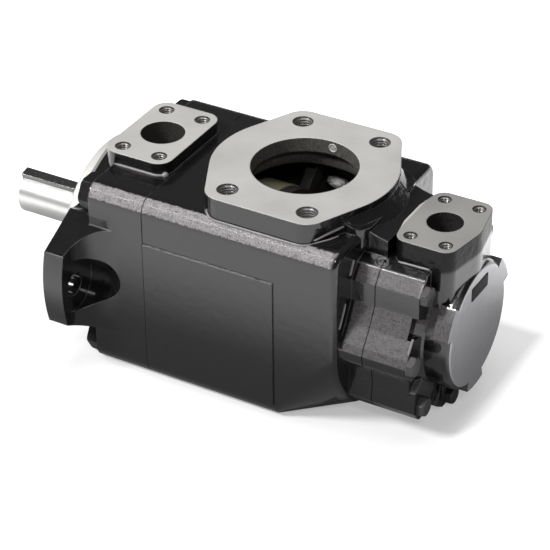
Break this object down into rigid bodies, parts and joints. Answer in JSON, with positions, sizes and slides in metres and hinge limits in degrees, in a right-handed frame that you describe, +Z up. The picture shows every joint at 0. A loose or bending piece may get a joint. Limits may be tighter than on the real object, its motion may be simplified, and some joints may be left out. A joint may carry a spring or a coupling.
{
  "type": "hydraulic vane pump",
  "caption": "Horizontal double vane pump: pilot flange with ears and keyed shaft in front, top suction port between two smaller top outlets, round rear cap.",
  "frame": {"origin": "centre of the mounting flange's face, on the shaft's axis", "axes": "+X along the shaft from the drive end to the rear cap, +Z up out of the ports, +Y across the mounting ears"},
  "size_m": [0.3748, 0.213, 0.1636],
  "materials": {
    "cast": "semi-gloss black paint over sand-cast grey iron",
    "bolt_steel": "blackened steel under the same paint",
    "shaft_steel": "ground steel",
    "rotor_steel": "hardened and ground",
    "vane_steel": "lapped",
    "plate_bronze": "machined bearing bronze",
    "screw_steel": "black oxide",
    "bearing_steel": "ground and polished",
    "cage_brass": "machined brass",
    "seal_rubber": "nitrile rubber"
  },
  "bodies": {
    "housing": {"front_cap": "cast", "centre_housing": "cast", "rear_cap": "cast", "front_cap_bolts": "bolt_steel", "rear_cap_bolts": "bolt_steel", "front_joint_o_ring": "seal_rubber", "rear_joint_o_ring": "seal_rubber", "shaft_seal": "seal_rubber", "seal_garter_spring": "screw_steel", "bearing_outer_ring": "bearing_steel", "bearing_retaining_ring": "screw_steel", "rear_bush": "plate_bronze", "p1_cam_ring": "rotor_steel", "p1_pressure_plate": "plate_bronze", "p1_port_plate": "plate_bronze", "p1_plate_seal": "seal_rubber", "p1_dowel_pins": "rotor_steel", "p1_cartridge_screws": "screw_steel", "p2_cam_ring": "rotor_steel", "p2_pressure_plate": "plate_bronze", "p2_port_plate": "plate_bronze", "p2_plate_seal": "seal_rubber", "p2_dowel_pins": "rotor_steel", "p2_cartridge_screws": "screw_steel"},
    "shaft": {"drive_shaft": "shaft_steel", "shaft_key": "shaft_steel", "bearing_inner_ring": "bearing_steel", "shaft_retaining_ring": "screw_steel", "p1_rotor": "rotor_steel", "p2_rotor": "rotor_steel"},
    "roller_cage": {"bearing_rollers": "bearing_steel", "bearing_cage": "cage_brass"},
    "p1_vane_01": {"p1_vane_01": "vane_steel"},
    "p1_vane_02": {"p1_vane_02": "vane_steel"},
    "p1_vane_03": {"p1_vane_03": "vane_steel"},
    "p1_vane_04": {"p1_vane_04": "vane_steel"},
    "p1_vane_05": {"p1_vane_05": "vane_steel"},
    "p1_vane_06": {"p1_vane_06": "vane_steel"},
    "p1_vane_07": {"p1_vane_07": "vane_steel"},
    "p1_vane_08": {"p1_vane_08": "vane_steel"},
    "p1_vane_09": {"p1_vane_09": "vane_steel"},
    "p1_vane_10": {"p1_vane_10": "vane_steel"},
    "p2_vane_01": {"p2_vane_01": "vane_steel"},
    "p2_vane_02": {"p2_vane_02": "vane_steel"},
    "p2_vane_03": {"p2_vane_03": "vane_steel"},
    "p2_vane_04": {"p2_vane_04": "vane_steel"},
    "p2_vane_05": {"p2_vane_05": "vane_steel"},
    "p2_vane_06": {"p2_vane_06": "vane_steel"},
    "p2_vane_07": {"p2_vane_07": "vane_steel"},
    "p2_vane_08": {"p2_vane_08": "vane_steel"},
    "p2_vane_09": {"p2_vane_09": "vane_steel"},
    "p2_vane_10": {"p2_vane_10": "vane_steel"}
  },
  "joints": [
    {"name": "shaft_spin", "type": "hinge", "parent": "housing", "child": "shaft", "pos_m": [0, 0, 0], "axis": [1, 0, 0], "continuous": true},
    {"name": "cage_spin", "type": "hinge", "parent": "housing", "child": "roller_cage", "pos_m": [0.021, 0, 0], "axis": [1, 0, 0], "continuous": true},
    {"name": "p1_vane_01_slide", "type": "slide", "parent": "shaft", "child": "p1_vane_01", "axis": [0, 1, 0], "range_m": [0, 0.00652]},
    {"name": "p1_vane_02_slide", "type": "slide", "parent": "shaft", "child": "p1_vane_02", "axis": [0, 0.809, 0.5878], "range_m": [0, 0.00496]},
    {"name": "p1_vane_03_slide", "type": "slide", "parent": "shaft", "child": "p1_vane_03", "axis": [0, 0.309, 0.9511], "range_m": [0, 0.00073]},
    {"name": "p1_vane_04_slide", "type": "slide", "parent": "shaft", "child": "p1_vane_04", "axis": [0, -0.309, 0.9511], "range_m": [0, 0.00073]},
    {"name": "p1_vane_05_slide", "type": "slide", "parent": "shaft", "child": "p1_vane_05", "axis": [0, -0.809, 0.5878], "range_m": [0, 0.00491]},
    {"name": "p1_vane_06_slide", "type": "slide", "parent": "shaft", "child": "p1_vane_06", "axis": [0, -1, 0], "range_m": [0, 0.00652]},
    {"name": "p1_vane_07_slide", "type": "slide", "parent": "shaft", "child": "p1_vane_07", "axis": [0, -0.809, -0.5878], "range_m": [0, 0.00496]},
    {"name": "p1_vane_08_slide", "type": "slide", "parent": "shaft", "child": "p1_vane_08", "axis": [0, -0.309, -0.9511], "range_m": [0, 0.00073]},
    {"name": "p1_vane_09_slide", "type": "slide", "parent": "shaft", "child": "p1_vane_09", "axis": [0, 0.309, -0.9511], "range_m": [0, 0.00073]},
    {"name": "p1_vane_10_slide", "type": "slide", "parent": "shaft", "child": "p1_vane_10", "axis": [0, 0.809, -0.5878], "range_m": [0, 0.00491]},
    {"name": "p2_vane_01_slide", "type": "slide", "parent": "shaft", "child": "p2_vane_01", "axis": [0, 1, 0], "range_m": [0, 0.00492]},
    {"name": "p2_vane_02_slide", "type": "slide", "parent": "shaft", "child": "p2_vane_02", "axis": [0, 0.809, 0.5878], "range_m": [0, 0.0038]},
    {"name": "p2_vane_03_slide", "type": "slide", "parent": "shaft", "child": "p2_vane_03", "axis": [0, 0.309, 0.9511], "range_m": [0, 0.00072]},
    {"name": "p2_vane_04_slide", "type": "slide", "parent": "shaft", "child": "p2_vane_04", "axis": [0, -0.309, 0.9511], "range_m": [0, 0.00072]},
    {"name": "p2_vane_05_slide", "type": "slide", "parent": "shaft", "child": "p2_vane_05", "axis": [0, -0.809, 0.5878], "range_m": [0, 0.00376]},
    {"name": "p2_vane_06_slide", "type": "slide", "parent": "shaft", "child": "p2_vane_06", "axis": [0, -1, 0], "range_m": [0, 0.00492]},
    {"name": "p2_vane_07_slide", "type": "slide", "parent": "shaft", "child": "p2_vane_07", "axis": [0, -0.809, -0.5878], "range_m": [0, 0.0038]},
    {"name": "p2_vane_08_slide", "type": "slide", "parent": "shaft", "child": "p2_vane_08", "axis": [0, -0.309, -0.9511], "range_m": [0, 0.00072]},
    {"name": "p2_vane_09_slide", "type": "slide", "parent": "shaft", "child": "p2_vane_09", "axis": [0, 0.309, -0.9511], "range_m": [0, 0.00072]},
    {"name": "p2_vane_10_slide", "type": "slide", "parent": "shaft", "child": "p2_vane_10", "axis": [0, 0.809, -0.5878], "range_m": [0, 0.00376]}
  ],
  "couplings": [
    {"joint": "cage_spin", "follows": "shaft_spin", "ratio": 0.40833}
  ]
}
